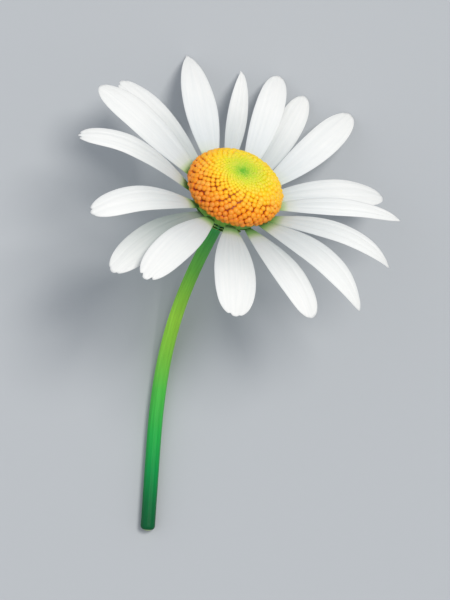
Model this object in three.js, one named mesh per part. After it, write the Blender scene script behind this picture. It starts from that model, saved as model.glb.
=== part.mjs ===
// An oxeye daisy, picked and laid down: a stem with its flared receptacle, the domed disc of
// florets, seventeen white ray petals in two tiers, and two rows of green bracts under the head.
// Millimetres, +Z up. The flower rests on the plane z = 0 on its far petal tips and the end of
// its stem, and the origin is the bottom centre of its bounding box.
import * as THREE from "three";

// Stance of the head.
const headTilt = 46; // degrees from upright, towards +Y
const headLean = 25; // degrees clockwise from +Y in plan

// Disc of florets, a dome on the head's axis (heights are above the head's centre).
const discRadius = 9.0;
const discBase = 0.6;
const discRim = 2.6;
const discTop = 6.9;
const discUnderside = [[0.81, 0], [0.91, 0.5], [0.97, 1.3]]; // share of the radius, height

// Ray petals.
const clawRadius = 7.2; // where each petal starts
const clawWidth = 0.26; // of the petal's full width
const petalThickness = 0.4;
const petalCamber = 0.05; // fall of the edges, of the width
const tipWidth = 0.4;
const droopGrowth = 2; // how strongly the droop gathers towards the tip
const LOWER = -0.8; // height of a lower-tier claw
const UPPER = -0.1; // height of an upper-tier claw
const POINTED = { widest: 0.5, fall: 1.9, root: 1.35 };
const ROUNDED = { widest: 0.6, fall: 2.4, root: 2.0 };
const BLUNT = { widest: 0.6, fall: 2.7, root: 2.0 };

// Bracts: foot and point are a radius and a height on the head's axis.
const innerRow = { count: 17, width: 1.7, thickness: 0.3, foot: [3.0, -5.1], point: [7.2, -1.7] };
const outerRow = { count: 13, width: 1.8, thickness: 0.3, foot: [2.3, -6.3], point: [5.6, -3.75] };
const bractBelly = 0.35; // how far the middle swells outwards
const bractFoot = 0.38; // width at the foot, of the full width

// Stem, and the receptacle that it widens into.
const stemNeckRadius = 1.15;
const stemRadius = 1.35;
const receptacle = [
  // radius, distance below the head's centre
  [6.5, -0.25],
  [6.7, 0.3],
  [6.6, 1.35],
  [5.6, 2.3],
  [4.2, 3.3],
  [2.9, 4.4],
  [2.0, 5.6],
  [1.45, 7.0],
  [stemNeckRadius, 8.5],
];
const bendRadius = 40; // where the stem turns to lie flat
const flatRun = 25.5; // length of stem that lies flat
const endRounding = 0.9;
const neckHeading = 29; // degrees clockwise from +Y, a little behind the head
const endHeading = 4; // and at the cut end
const neckSwing = [0, 8]; // the stem swings from the head's lean to the neck's heading
const longSwing = [8, 58]; // and on to the end's, between these distances along it

const WHITE = new THREE.Color("#eef1ee");
const GOLD = new THREE.Color("#f2a512");
const STEM_GREEN = new THREE.Color("#3f9a3a");
const BRACT_GREEN = new THREE.Color("#6f9a3c");

// The petals, counter-clockwise round the head. The claw stands at an angle from the head's +X
// side; splay turns it off the radius there and bend is its sideways curve; rise is its slope
// at the claw and droop how far that slope has fallen at the tip. Angles in degrees.
const petals = [
  { at: -3, splay: 0, bend: 8, length: 26.0, width: 5.0, rise: 28, droop: 75, tip: POINTED, tier: LOWER },
  { at: 17, splay: 4, bend: 4, length: 25.5, width: 4.4, rise: 18, droop: 43, tip: POINTED, tier: UPPER },
  { at: 38, splay: -2, bend: 0, length: 24.5, width: 6.2, rise: 11, droop: 36, tip: ROUNDED, tier: LOWER },
  { at: 52, splay: 12, bend: 16, length: 29.0, width: 6.1, rise: 9, droop: 18, tip: ROUNDED, tier: UPPER },
  { at: 70, splay: 12, bend: 8, length: 26.0, width: 5.2, rise: 8, droop: 12, tip: ROUNDED, tier: LOWER },
  { at: 85, splay: 8, bend: 4, length: 26.7, width: 5.4, rise: 12, droop: 22, tip: ROUNDED, tier: UPPER },
  { at: 112, splay: -12, bend: 5, length: 25.5, width: 3.8, rise: 9, droop: 14, tip: POINTED, tier: LOWER },
  { at: 134, splay: -12, bend: -9, length: 29.6, width: 6.5, rise: 8, droop: 28, tip: POINTED, tier: UPPER },
  { at: 152, splay: 0, bend: 0, length: 24.0, width: 6.2, rise: 14, droop: 27, tip: BLUNT, tier: LOWER },
  { at: 169, splay: -4, bend: -3, length: 24.5, width: 7.2, rise: 19, droop: 30, tip: ROUNDED, tier: UPPER },
  { at: 193, splay: 0, bend: 0, length: 24.8, width: 5.0, rise: 34, droop: 66, tip: BLUNT, tier: LOWER },
  { at: 228, splay: -1, bend: 0, length: 25.0, width: 5.9, rise: 28, droop: 60, tip: BLUNT, tier: UPPER },
  { at: 242, splay: 3, bend: 4, length: 25.8, width: 6.1, rise: 16, droop: 50, tip: BLUNT, tier: LOWER },
  { at: 258, splay: -2, bend: 0, length: 25.5, width: 6.4, rise: 20, droop: 42, tip: BLUNT, tier: UPPER },
  { at: 288, splay: 0, bend: 0, length: 24.2, width: 7.6, rise: 15, droop: 30, tip: BLUNT, tier: UPPER },
  { at: 318, splay: -3, bend: 4, length: 23.6, width: 6.2, rise: 19, droop: 45, tip: ROUNDED, tier: LOWER },
  { at: 338, splay: -3, bend: -4, length: 27.0, width: 6.2, rise: 25, droop: 66, tip: POINTED, tier: UPPER },
];

const rad = THREE.MathUtils.degToRad;
const smooth = THREE.MathUtils.smoothstep;

// Moves every vertex of a geometry to place(vertex), then renews its normals.
function reshape(geometry, place) {
  const position = geometry.attributes.position;
  const vertex = new THREE.Vector3();
  for (let i = 0; i < position.count; i += 1) {
    vertex.fromBufferAttribute(position, i);
    position.setXYZ(i, ...place(vertex).toArray());
  }
  geometry.computeVertexNormals();
  return geometry;
}

function piece(name, geometry, color, roughness) {
  const material = new THREE.MeshStandardMaterial({ color, roughness, metalness: 0 });
  const mesh = new THREE.Mesh(geometry, material);
  mesh.name = name;
  return mesh;
}

// ---- Ray petals ----

// The width at s, from 0 at the claw to 1 at the tip, as a share of the full width.
function petalWidth(s, tip) {
  if (s < tip.widest) {
    return clawWidth + (1 - clawWidth) * Math.sin((Math.PI / 2) * (s / tip.widest));
  }
  const past = (s - tip.widest) / (1 - tip.widest);
  return Math.max(0, 1 - past ** tip.fall) ** (1 / tip.root);
}

// The midrib's direction at s: droop grows towards the tip, bend evenly.
function petalHeading(petal, s) {
  const slope = rad(petal.rise - petal.droop * s ** droopGrowth);
  const turn = rad(petal.splay + petal.bend * s);
  const level = Math.cos(slope);
  return new THREE.Vector3(level * Math.cos(turn), level * Math.sin(turn), Math.sin(slope));
}

// A point on the midrib, found by walking along it from the claw.
function petalMidrib(petal, s) {
  const steps = 40;
  const point = new THREE.Vector3(clawRadius, 0, petal.tier);
  for (let i = 0; i < steps; i += 1) {
    const middle = (s * (i + 0.5)) / steps;
    point.addScaledVector(petalHeading(petal, middle), (petal.length * s) / steps);
  }
  return point;
}

// A petal is a slab, x across, y from claw to tip and z through it, laid along the midrib.
function petalGeometry(petal) {
  const acrossSteps = 4;
  const alongSteps = 10;
  const slab = new THREE.BoxGeometry(1, 1, 1, acrossSteps, alongSteps, 1);
  return reshape(slab, (v) => {
    const s = Math.sin((Math.PI / 2) * (v.y + 0.5));
    const forward = petalHeading(petal, s);
    const turn = rad(petal.splay + petal.bend * s);
    const right = new THREE.Vector3(Math.sin(turn), -Math.cos(turn), 0);
    const up = new THREE.Vector3().crossVectors(right, forward);
    const width = Math.max(tipWidth, petal.width * petalWidth(s, petal.tip));
    const fall = petalCamber * width * (2 * v.x) ** 2;
    return petalMidrib(petal, s)
      .addScaledVector(right, v.x * width)
      .addScaledVector(up, v.z * petalThickness - fall);
  });
}

function buildPetals() {
  return petals.map((petal, i) => {
    const name = `ray_petal_${String(i + 1).padStart(2, "0")}`;
    const mesh = piece(name, petalGeometry(petal), WHITE, 0.55);
    mesh.rotation.z = rad(petal.at);
    return mesh;
  });
}

// ---- Disc ----

function buildDisc() {
  const profile = [new THREE.Vector2(0, discBase)];
  for (const [share, height] of discUnderside) {
    profile.push(new THREE.Vector2(share * discRadius, discBase + height));
  }
  const rings = 8;
  for (let i = 0; i <= rings; i += 1) {
    const angle = (Math.PI / 2) * (i / rings);
    const radius = i === rings ? 0 : discRadius * Math.cos(angle);
    profile.push(new THREE.Vector2(radius, discRim + (discTop - discRim) * Math.sin(angle)));
  }
  const dome = new THREE.LatheGeometry(profile, 32);
  dome.rotateX(Math.PI / 2);
  return piece("disc_florets", dome, GOLD, 0.6);
}

// ---- Bracts ----

// A bract is a slab wrapped round the head's axis: x across, y from foot to point, z outwards.
function bractGeometry(row) {
  const slab = new THREE.BoxGeometry(1, 1, 1, 2, 5, 1);
  const foot = new THREE.Vector2(...row.foot);
  const run = new THREE.Vector2(...row.point).sub(foot);
  const outward = new THREE.Vector2(run.y, -run.x).normalize();
  return reshape(slab, (v) => {
    const t = v.y + 0.5;
    const off = v.z * row.thickness + bractBelly * Math.sin(Math.PI * t);
    const radius = foot.x + run.x * t + outward.x * off;
    const height = foot.y + run.y * t + outward.y * off;
    const shape = bractFoot + (1 - bractFoot) * Math.sin(Math.PI * (0.02 + 0.85 * t));
    const angle = (v.x * row.width * shape) / radius;
    return new THREE.Vector3(radius * Math.cos(angle), radius * Math.sin(angle), height);
  });
}

function buildBracts(label, row) {
  return Array.from({ length: row.count }, (_, i) => {
    const name = `${label}_bract_${String(i + 1).padStart(2, "0")}`;
    const mesh = piece(name, bractGeometry(row), BRACT_GREEN, 0.7);
    mesh.rotation.z = (2 * Math.PI * (i + 0.5)) / row.count;
    return mesh;
  });
}

// ---- Stem ----

// The stem's line runs straight back from the head, bends until it is level and lies flat.
class StemLine {
  constructor(drop) {
    const dip = rad(90 - headTilt);
    const bendDrop = bendRadius * (1 - Math.cos(dip));
    this.dip = dip;
    this.straight = (drop - bendDrop) / Math.sin(dip);
    this.length = this.straight + bendRadius * dip + flatRun;
  }

  direction(distance) {
    const bent = THREE.MathUtils.clamp((distance - this.straight) / bendRadius, 0, this.dip);
    const dip = this.dip - bent;
    const toNeck = (neckHeading - headLean) * smooth(distance, ...neckSwing);
    const toEnd = (endHeading - neckHeading) * smooth(distance, ...longSwing);
    const heading = rad(headLean + toNeck + toEnd);
    const level = -Math.cos(dip);
    return new THREE.Vector3(level * Math.sin(heading), level * Math.cos(heading), -Math.sin(dip));
  }

  point(distance) {
    const steps = Math.max(1, Math.ceil(distance * 4));
    const point = new THREE.Vector3();
    for (let i = 0; i < steps; i += 1) {
      const middle = (distance * (i + 0.5)) / steps;
      point.addScaledVector(this.direction(middle), distance / steps);
    }
    return point;
  }
}

// Radius against distance down the stem, from the receptacle's top face to the cut end.
function stemProfile(length) {
  const [, top] = receptacle[0];
  const [, foot] = receptacle.at(-1);
  const profile = [[0, top], ...receptacle];
  const taperSteps = 5;
  const bendSteps = 16;
  const bendEnd = length - flatRun;
  for (let i = 1; i <= taperSteps + bendSteps; i += 1) {
    const t = i / (taperSteps + bendSteps);
    const radius = THREE.MathUtils.lerp(stemNeckRadius, stemRadius, t);
    profile.push([radius, THREE.MathUtils.lerp(foot, bendEnd, t)]);
  }
  for (const t of [0.2, 0.4, 0.6, 0.8]) {
    profile.push([stemRadius, bendEnd + t * (flatRun - endRounding)]);
  }
  const endRings = 4;
  for (let i = 0; i <= endRings; i += 1) {
    const angle = (Math.PI / 2) * (i / endRings);
    const radius = i === endRings ? 0 : stemRadius * Math.cos(angle);
    profile.push([radius, length - endRounding * (1 - Math.sin(angle))]);
  }
  return profile.map(([radius, distance]) => new THREE.Vector2(radius, distance));
}

function buildStem(headHeight) {
  const line = new StemLine(headHeight - stemRadius);
  const straightStem = new THREE.LatheGeometry(stemProfile(line.length), 16);
  const upright = new THREE.Vector3(0, 0, 1);
  const bent = reshape(straightStem, (v) => {
    const back = v.y < 0;
    const along = line.direction(Math.max(0, v.y));
    const centre = back ? along.clone().multiplyScalar(v.y) : line.point(v.y);
    const side = new THREE.Vector3().crossVectors(upright, along).normalize();
    const over = new THREE.Vector3().crossVectors(side, along);
    return centre.addScaledVector(side, v.x).addScaledVector(over, v.z);
  });
  return piece("stem", bent, STEM_GREEN, 0.5);
}

// ---- The flower ----

const head = new THREE.Group();
head.rotation.set(rad(-headTilt), 0, rad(-headLean), "ZYX");
head.add(buildDisc(), ...buildPetals());
head.add(...buildBracts("inner", innerRow), ...buildBracts("outer", outerRow));

const plant = new THREE.Group();
plant.add(head);
plant.updateMatrixWorld(true);
const headHeight = -new THREE.Box3().setFromObject(head, true).min.z;
plant.add(buildStem(headHeight));

// The origin goes to the bottom centre of the bounding box.
plant.updateMatrixWorld(true);
const box = new THREE.Box3().setFromObject(plant, true);
plant.position.set(-(box.min.x + box.max.x) / 2, -(box.min.y + box.max.y) / 2, headHeight);

const daisy = new THREE.Group();
daisy.add(plant);

export default daisy;
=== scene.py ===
"""The looks of a cut daisy laid on a table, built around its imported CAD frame.

Classes hold their sizes in millimetres, and meshes are made in metres in the row frame:
+Y runs from the cut end of the stem to the head, and +Z is up from the table.
"""

import logging
import math
from dataclasses import dataclass, field
from enum import Enum

import bpy
import numpy as np
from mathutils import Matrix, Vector


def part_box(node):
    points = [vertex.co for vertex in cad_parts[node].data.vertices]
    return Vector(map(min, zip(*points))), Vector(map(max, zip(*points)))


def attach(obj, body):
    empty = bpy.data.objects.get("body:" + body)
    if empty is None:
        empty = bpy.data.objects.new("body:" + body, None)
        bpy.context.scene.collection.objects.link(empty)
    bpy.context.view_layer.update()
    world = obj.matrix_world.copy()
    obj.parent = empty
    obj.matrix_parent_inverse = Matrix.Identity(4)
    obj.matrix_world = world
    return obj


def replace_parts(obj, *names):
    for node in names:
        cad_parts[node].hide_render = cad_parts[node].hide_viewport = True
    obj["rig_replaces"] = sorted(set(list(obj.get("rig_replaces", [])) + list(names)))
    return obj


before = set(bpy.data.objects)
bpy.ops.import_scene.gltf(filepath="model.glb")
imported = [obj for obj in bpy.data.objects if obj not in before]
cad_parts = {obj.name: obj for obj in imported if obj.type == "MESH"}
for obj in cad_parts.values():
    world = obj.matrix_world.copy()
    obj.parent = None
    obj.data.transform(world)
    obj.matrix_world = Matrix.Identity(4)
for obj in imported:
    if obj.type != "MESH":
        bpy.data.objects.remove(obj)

MM = 0.001
ROOT = "root"
GOLDEN_ANGLE = math.pi * (3 - math.sqrt(5))
LOG = logging.getLogger("daisy")

Colour = tuple[float, float, float, float]
Stops = tuple[tuple[float, str], ...]


def linear(code: str) -> Colour:
    """Turns an sRGB hex code into linear colour.

    Args:
        code: Six hex digits after a hash.

    Returns:
        Red, green, blue and an alpha of 1.
    """
    shares = [int(code[i : i + 2], 16) / 255 for i in (1, 3, 5)]
    red, green, blue = (
        c / 12.92 if c <= 0.04045 else ((c + 0.055) / 1.055) ** 2.4 for c in shares
    )
    return red, green, blue, 1.0


def smooth(x: np.ndarray, low: float, high: float) -> np.ndarray:
    """Rises smoothly from 0 at low to 1 at high."""
    t = np.clip((x - low) / (high - low), 0, 1)
    return t * t * (3 - 2 * t)


def add_node(
    tree: bpy.types.NodeTree,
    kind: str,
    settings: dict[str | int, object] | None = None,
    links: dict[str | int, bpy.types.NodeSocket] | None = None,
) -> bpy.types.Node:
    """Adds one shader node.

    Args:
        tree: The material's or world's node tree.
        kind: The node's type without its "ShaderNode" prefix.
        settings: Values by the name of a property, or by the name or number of an input.
            "stops" fills a colour ramp with places and hex colours.
        links: The output that feeds each named or numbered input.

    Returns:
        The new node.
    """
    node = tree.nodes.new("ShaderNode" + kind)
    for name, value in (settings or {}).items():
        if name == "stops":
            elements = node.color_ramp.elements
            while len(elements) < len(value):
                elements.new(0.5)
            for element, (place, code) in zip(elements, value, strict=True):
                element.position = place
                element.color = linear(code)
        elif isinstance(name, str) and hasattr(node, name):
            setattr(node, name, value)
        else:
            node.inputs[name].default_value = value
    for name, source in (links or {}).items():
        tree.links.new(source, node.inputs[name])
    return node


def start_material(name: str) -> tuple[bpy.types.Material, bpy.types.NodeTree]:
    """Makes an empty node material and returns it with its tree."""
    material = bpy.data.materials.new(name)
    material.use_nodes = True
    material.node_tree.nodes.clear()
    return material, material.node_tree


# ---- Finishes ----


@dataclass(frozen=True)
class PetalTissue:
    """White petal tissue, grown: a thin pale blade under a faintly waxy, papillate skin.

    To the eye it is soft matt white with a green claw, and fine veins run along it. Towards the
    disc it is painted cool grey, painted shade, and covered bases are painted greyer still.
    """

    vein_spacing: float = 0.5
    vein_length: float = 14.0
    cell_size: float = 0.12  # real cells are a quarter of this, too fine to show
    vein_height: float = 0.02
    vein_tint: str = "#DCE3E6"
    vein_strength: float = 0.22
    # Painted shade: the grey that the covered bases of petals are painted with.
    shade: str = "#8F9A96"
    # Green at the claw, then painted cool grey towards the disc as painted shade, then white.
    along: Stops = (
        (0.0, "#5FA02F"),
        (0.065, "#7DB548"),
        (0.1, "#B8D09A"),
        (0.14, "#D8E0DA"),
        (0.22, "#E0E6E9"),
        (0.4, "#EFF2F3"),
        (0.6, "#F9FAF9"),
        (1.0, "#F8F8F6"),
    )

    def material(self) -> bpy.types.Material:
        """Builds the material from the along, blade and shaded attributes."""
        material, tree = start_material("petal_tissue_grown")
        along = add_node(tree, "Attribute", {"attribute_name": "along"})
        blade = add_node(tree, "Attribute", {"attribute_name": "blade"})
        base = add_node(
            tree, "ValToRGB", {"stops": self.along}, {"Fac": along.outputs["Fac"]}
        )
        stretch = (1 / self.vein_spacing, 1 / self.vein_length, 1.0)
        grain = add_node(
            tree,
            "VectorMath",
            {"operation": "MULTIPLY", 1: stretch},
            {0: blade.outputs["Vector"]},
        )
        veins = add_node(
            tree,
            "TexNoise",
            {"Scale": 1.0, "Detail": 3.0, "Roughness": 0.55},
            {"Vector": grain.outputs[0]},
        )
        lines = add_node(
            tree,
            "MapRange",
            {"From Min": 0.34, "From Max": 0.66},
            {"Value": veins.outputs["Fac"]},
        )
        cells = add_node(
            tree,
            "TexNoise",
            {"Scale": 1 / self.cell_size, "Detail": 1.0},
            {"Vector": blade.outputs["Vector"]},
        )
        # Painted shade: each petal's covered base is mixed towards the painted shade grey.
        shaded = add_node(tree, "Attribute", {"attribute_name": "shaded"})
        greyed = add_node(
            tree,
            "Mix",
            {"data_type": "RGBA", 7: linear(self.shade)},
            {0: shaded.outputs["Fac"], 6: base.outputs["Color"]},
        )
        tinted = add_node(
            tree,
            "Mix",
            {
                "data_type": "RGBA",
                "blend_type": "MULTIPLY",
                0: self.vein_strength,
                7: linear(self.vein_tint),
            },
            {6: greyed.outputs[2]},
        )
        colour = add_node(
            tree,
            "Mix",
            {"data_type": "RGBA"},
            {0: lines.outputs["Result"], 6: tinted.outputs[2], 7: greyed.outputs[2]},
        )
        height = add_node(
            tree,
            "Math",
            {"operation": "MULTIPLY_ADD", 1: 0.12},
            {0: cells.outputs["Fac"], 2: lines.outputs["Result"]},
        )
        bump = add_node(
            tree,
            "Bump",
            {"Strength": 0.45, "Distance": self.vein_height * MM},
            {"Height": height.outputs[0]},
        )
        gloss = add_node(
            tree,
            "MapRange",
            {"To Min": 0.46, "To Max": 0.62},
            {"Value": cells.outputs["Fac"]},
        )
        skin = add_node(
            tree,
            "BsdfPrincipled",
            {
                "IOR": 1.42,
                "Specular IOR Level": 0.35,
                "Subsurface Weight": 0.22,
                "Subsurface Radius": (1.0, 1.0, 0.95),
                "Subsurface Scale": 0.7 * MM,
                "Sheen Weight": 0.06,
                "Sheen Roughness": 0.5,
            },
            {
                "Base Color": colour.outputs[2],
                "Roughness": gloss.outputs["Result"],
                "Normal": bump.outputs["Normal"],
            },
        )
        add_node(tree, "OutputMaterial", links={"Surface": skin.outputs[0]})
        return material


@dataclass(frozen=True)
class FloretTissue:
    """Disc floret tissue, grown: closed tubular buds with a smooth, slightly greasy skin.

    To the eye each bud is a small bright bead with a soft highlight. Buds are green at the
    centre of the disc and ripen through yellow and gold to orange at its rim. The deep gaps
    between them are painted golden brown and one side deeper orange, both painted shade.
    """

    papilla_size: float = 0.09
    papilla_height: float = 0.012
    ripening: Stops = (
        (0.0, "#6CBE20"),
        (0.045, "#86CA27"),
        (0.1, "#B8DB31"),
        (0.2, "#DAE22E"),
        (0.32, "#F1E127"),
        (0.47, "#FFD71E"),
        (0.62, "#FFC31C"),
        (0.78, "#FCAA18"),
        (1.0, "#EC8C14"),
    )
    # Painted shade: darkens each bud towards its foot, and the bed between buds.
    depth: Stops = (
        (0.0, "#8A4A14"),
        (0.26, "#BE7B38"),
        (0.46, "#EFC899"),
        (0.64, "#FFF4E6"),
        (1.0, "#FFFFFF"),
    )
    pale: str = "#FFD98A"

    def material(self) -> bpy.types.Material:
        """Builds the material from the ripening and painted side shade, lift and tone attributes.
        """
        material, tree = start_material("floret_tissue_grown")
        ripeness = add_node(tree, "Attribute", {"attribute_name": "ripeness"})
        lift = add_node(tree, "Attribute", {"attribute_name": "lift"})
        tone = add_node(tree, "Attribute", {"attribute_name": "tone"})
        bud = add_node(tree, "Attribute", {"attribute_name": "bud"})
        ripe_and_shaded = add_node(
            tree, "ValToRGB", {"stops": self.ripening}, {"Fac": ripeness.outputs["Fac"]}
        )
        paler = add_node(
            tree,
            "Mix",
            {"data_type": "RGBA", 7: linear(self.pale)},
            {0: tone.outputs["Fac"], 6: ripe_and_shaded.outputs["Color"]},
        )
        # Painted shade in the gaps, multiplied onto the bud colour.
        shade = add_node(
            tree, "ValToRGB", {"stops": self.depth}, {"Fac": lift.outputs["Fac"]}
        )
        colour = add_node(
            tree,
            "Mix",
            {"data_type": "RGBA", "blend_type": "MULTIPLY", 0: 1.0},
            {6: paler.outputs[2], 7: shade.outputs["Color"]},
        )
        papillae = add_node(
            tree,
            "TexNoise",
            {"Scale": 1 / self.papilla_size, "Detail": 1.0},
            {"Vector": bud.outputs["Vector"]},
        )
        bump = add_node(
            tree,
            "Bump",
            {"Strength": 0.5, "Distance": self.papilla_height * MM},
            {"Height": papillae.outputs["Fac"]},
        )
        gloss = add_node(
            tree,
            "MapRange",
            {"To Min": 0.34, "To Max": 0.5},
            {"Value": papillae.outputs["Fac"]},
        )
        skin = add_node(
            tree,
            "BsdfPrincipled",
            {
                "IOR": 1.45,
                "Specular IOR Level": 0.45,
                "Subsurface Weight": 0.15,
                "Subsurface Radius": (1.0, 0.6, 0.15),
                "Subsurface Scale": 0.25 * MM,
            },
            {
                "Base Color": colour.outputs[2],
                "Roughness": gloss.outputs["Result"],
                "Normal": bump.outputs["Normal"],
            },
        )
        add_node(tree, "OutputMaterial", links={"Surface": skin.outputs[0]})
        return material


@dataclass(frozen=True)
class BractTissue:
    """Bract tissue, grown: a leathery green scale with a papery edge.

    To the eye it is matt green and paler along the keel, with fine lengthwise veins, and its
    thin dry margin is straw-coloured.
    """

    vein_spacing: float = 0.16
    vein_height: float = 0.02
    across: Stops = (
        (0.0, "#A8C86C"),
        (0.3, "#7DB04C"),
        (0.72, "#5FA43F"),
        (0.9, "#76A846"),
        (0.96, "#94A452"),
        (1.0, "#B4B078"),
    )
    foot: str = "#3C8C42"

    def material(self) -> bpy.types.Material:
        """Builds the material from the edge, along and blade attributes."""
        material, tree = start_material("bract_tissue_grown")
        edge = add_node(tree, "Attribute", {"attribute_name": "edge"})
        along = add_node(tree, "Attribute", {"attribute_name": "along"})
        blade = add_node(tree, "Attribute", {"attribute_name": "blade"})
        base = add_node(
            tree, "ValToRGB", {"stops": self.across}, {"Fac": edge.outputs["Fac"]}
        )
        towards_foot = add_node(
            tree,
            "MapRange",
            {"From Min": 0.0, "From Max": 0.5, "To Min": 0.75, "To Max": 0.0},
            {"Value": along.outputs["Fac"]},
        )
        footed = add_node(
            tree,
            "Mix",
            {"data_type": "RGBA", 7: linear(self.foot)},
            {0: towards_foot.outputs["Result"], 6: base.outputs["Color"]},
        )
        grain = add_node(
            tree,
            "VectorMath",
            {"operation": "MULTIPLY", 1: (1 / self.vein_spacing, 0.4, 1.0)},
            {0: blade.outputs["Vector"]},
        )
        veins = add_node(
            tree,
            "TexNoise",
            {"Scale": 1.0, "Detail": 2.0},
            {"Vector": grain.outputs[0]},
        )
        streaks = add_node(
            tree,
            "MapRange",
            {"From Min": 0.3, "From Max": 0.7, "To Min": 0.8, "To Max": 1.08},
            {"Value": veins.outputs["Fac"]},
        )
        colour = add_node(
            tree,
            "VectorMath",
            {"operation": "SCALE"},
            {0: footed.outputs[2], "Scale": streaks.outputs["Result"]},
        )
        bump = add_node(
            tree,
            "Bump",
            {"Strength": 0.8, "Distance": self.vein_height * MM},
            {"Height": veins.outputs["Fac"]},
        )
        gloss = add_node(
            tree,
            "MapRange",
            {"To Min": 0.5, "To Max": 0.7},
            {"Value": veins.outputs["Fac"]},
        )
        skin = add_node(
            tree,
            "BsdfPrincipled",
            {
                "IOR": 1.45,
                "Specular IOR Level": 0.35,
                "Subsurface Weight": 0.1,
                "Subsurface Radius": (0.5, 1.0, 0.2),
                "Subsurface Scale": 0.3 * MM,
            },
            {
                "Base Color": colour.outputs[0],
                "Roughness": gloss.outputs["Result"],
                "Normal": bump.outputs["Normal"],
            },
        )
        add_node(tree, "OutputMaterial", links={"Surface": skin.outputs[0]})
        return material


@dataclass(frozen=True)
class StemTissue:
    """Stem tissue, grown: a ribbed stalk under a smooth, slightly waxy cuticle.

    To the eye it is fresh green with a soft sheen, pale round the top of the receptacle,
    yellow-green where it bends and deep blue-green towards the cut end, with fine darker
    streaks along it.
    """

    length: float
    streak_width: float = 0.22
    streak_length: float = 7.0
    streak_height: float = 0.02
    pith: str = "#C9D9A2"
    stops_at: tuple[tuple[float, str], ...] = (
        (0.0, "#7FB23F"),
        (7.0, "#36A04E"),
        (12.0, "#52AC4C"),
        (19.5, "#6CBC46"),
        (25.0, "#8ED247"),
        (30.5, "#A8E848"),
        (36.0, "#96DE48"),
        (45.0, "#52C24A"),
        (53.0, "#24AB47"),
        (60.0, "#049044"),
        (66.0, "#006A36"),
        (70.5, "#005A30"),
    )

    def material(self) -> bpy.types.Material:
        """Builds the material from the stalk and pith attributes."""
        material, tree = start_material("stem_tissue_grown")
        stalk = add_node(tree, "Attribute", {"attribute_name": "stalk"})
        pith = add_node(tree, "Attribute", {"attribute_name": "pith"})
        down = add_node(tree, "SeparateXYZ", links={"Vector": stalk.outputs["Vector"]})
        share = add_node(
            tree, "Math", {"operation": "DIVIDE", 1: self.length}, {0: down.outputs["Z"]}
        )
        stops = tuple((distance / self.length, code) for distance, code in self.stops_at)
        base = add_node(tree, "ValToRGB", {"stops": stops}, {"Fac": share.outputs[0]})
        stretch = (1 / self.streak_width, 1 / self.streak_width, 1 / self.streak_length)
        grain = add_node(
            tree,
            "VectorMath",
            {"operation": "MULTIPLY", 1: stretch},
            {0: stalk.outputs["Vector"]},
        )
        streaks = add_node(
            tree,
            "TexNoise",
            {"Scale": 1.0, "Detail": 3.0},
            {"Vector": grain.outputs[0]},
        )
        strength = add_node(
            tree,
            "MapRange",
            {"From Min": 0.3, "From Max": 0.7, "To Min": 0.86, "To Max": 1.1},
            {"Value": streaks.outputs["Fac"]},
        )
        streaked = add_node(
            tree,
            "VectorMath",
            {"operation": "SCALE"},
            {0: base.outputs["Color"], "Scale": strength.outputs["Result"]},
        )
        colour = add_node(
            tree,
            "Mix",
            {"data_type": "RGBA", 7: linear(self.pith)},
            {0: pith.outputs["Fac"], 6: streaked.outputs[0]},
        )
        bump = add_node(
            tree,
            "Bump",
            {"Strength": 0.7, "Distance": self.streak_height * MM},
            {"Height": streaks.outputs["Fac"]},
        )
        gloss = add_node(
            tree,
            "MapRange",
            {"To Min": 0.38, "To Max": 0.55},
            {"Value": streaks.outputs["Fac"]},
        )
        skin = add_node(
            tree,
            "BsdfPrincipled",
            {
                "IOR": 1.45,
                "Specular IOR Level": 0.22,
                "Subsurface Weight": 0.12,
                "Subsurface Radius": (0.5, 1.0, 0.25),
                "Subsurface Scale": 0.5 * MM,
            },
            {
                "Base Color": colour.outputs[2],
                "Roughness": gloss.outputs["Result"],
                "Normal": bump.outputs["Normal"],
            },
        )
        add_node(tree, "OutputMaterial", links={"Surface": skin.outputs[0]})
        return material


@dataclass(frozen=True)
class BackdropPaper:
    """Seamless backdrop paper, calendered: matt, plain and pale, with no visible grain."""

    tint: str = "#B9BDC2"
    roughness: float = 0.95

    def material(self) -> bpy.types.Material:
        """Builds the plain material."""
        material, tree = start_material("backdrop_paper_calendered")
        settings = {"Base Color": linear(self.tint), "Roughness": self.roughness}
        settings["Specular IOR Level"] = 0.1
        paper = add_node(tree, "BsdfPrincipled", settings)
        add_node(tree, "OutputMaterial", links={"Surface": paper.outputs[0]})
        return material


# ---- Shapes ----


@dataclass
class Shape:
    """A closed mesh in the making.

    Attributes:
        points: One row of three millimetres for each vertex.
        faces: Vertex numbers, counter-clockwise seen from outside.
        values: Named values for the finish, one number or one vector for each vertex.
    """

    points: np.ndarray
    faces: list[tuple[int, ...]]
    values: dict[str, np.ndarray] = field(default_factory=dict)

    def piece(
        self, name: str, material: bpy.types.Material, node: str, slot: str
    ) -> bpy.types.Object:
        """Makes the Blender object that stands for a CAD node.

        Args:
            name: The piece's name.
            material: Its finish.
            node: The CAD node that it replaces.
            slot: The record's material slot, not used.

        Returns:
            The new object, riding on the flower's body.
        """
        mesh = bpy.data.meshes.new(name)
        mesh.from_pydata((self.points * MM).tolist(), [], self.faces)
        for label, value in self.values.items():
            vector = value.ndim == 2
            kind = "FLOAT_VECTOR" if vector else "FLOAT"
            attribute = mesh.attributes.new(label, kind, "POINT")
            target = "vector" if vector else "value"
            attribute.data.foreach_set(target, value.astype(np.float32).ravel())
        mesh.materials.append(material)
        mesh.shade_smooth()
        mesh.update()
        piece = bpy.data.objects.new(name, mesh)
        bpy.context.scene.collection.objects.link(piece)
        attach(piece, ROOT)
        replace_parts(piece, node)
        triangles = sum(len(face) - 2 for face in self.faces)
        LOG.info("%s: %d triangles, stands for %s", name, triangles, node)
        return piece


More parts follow.
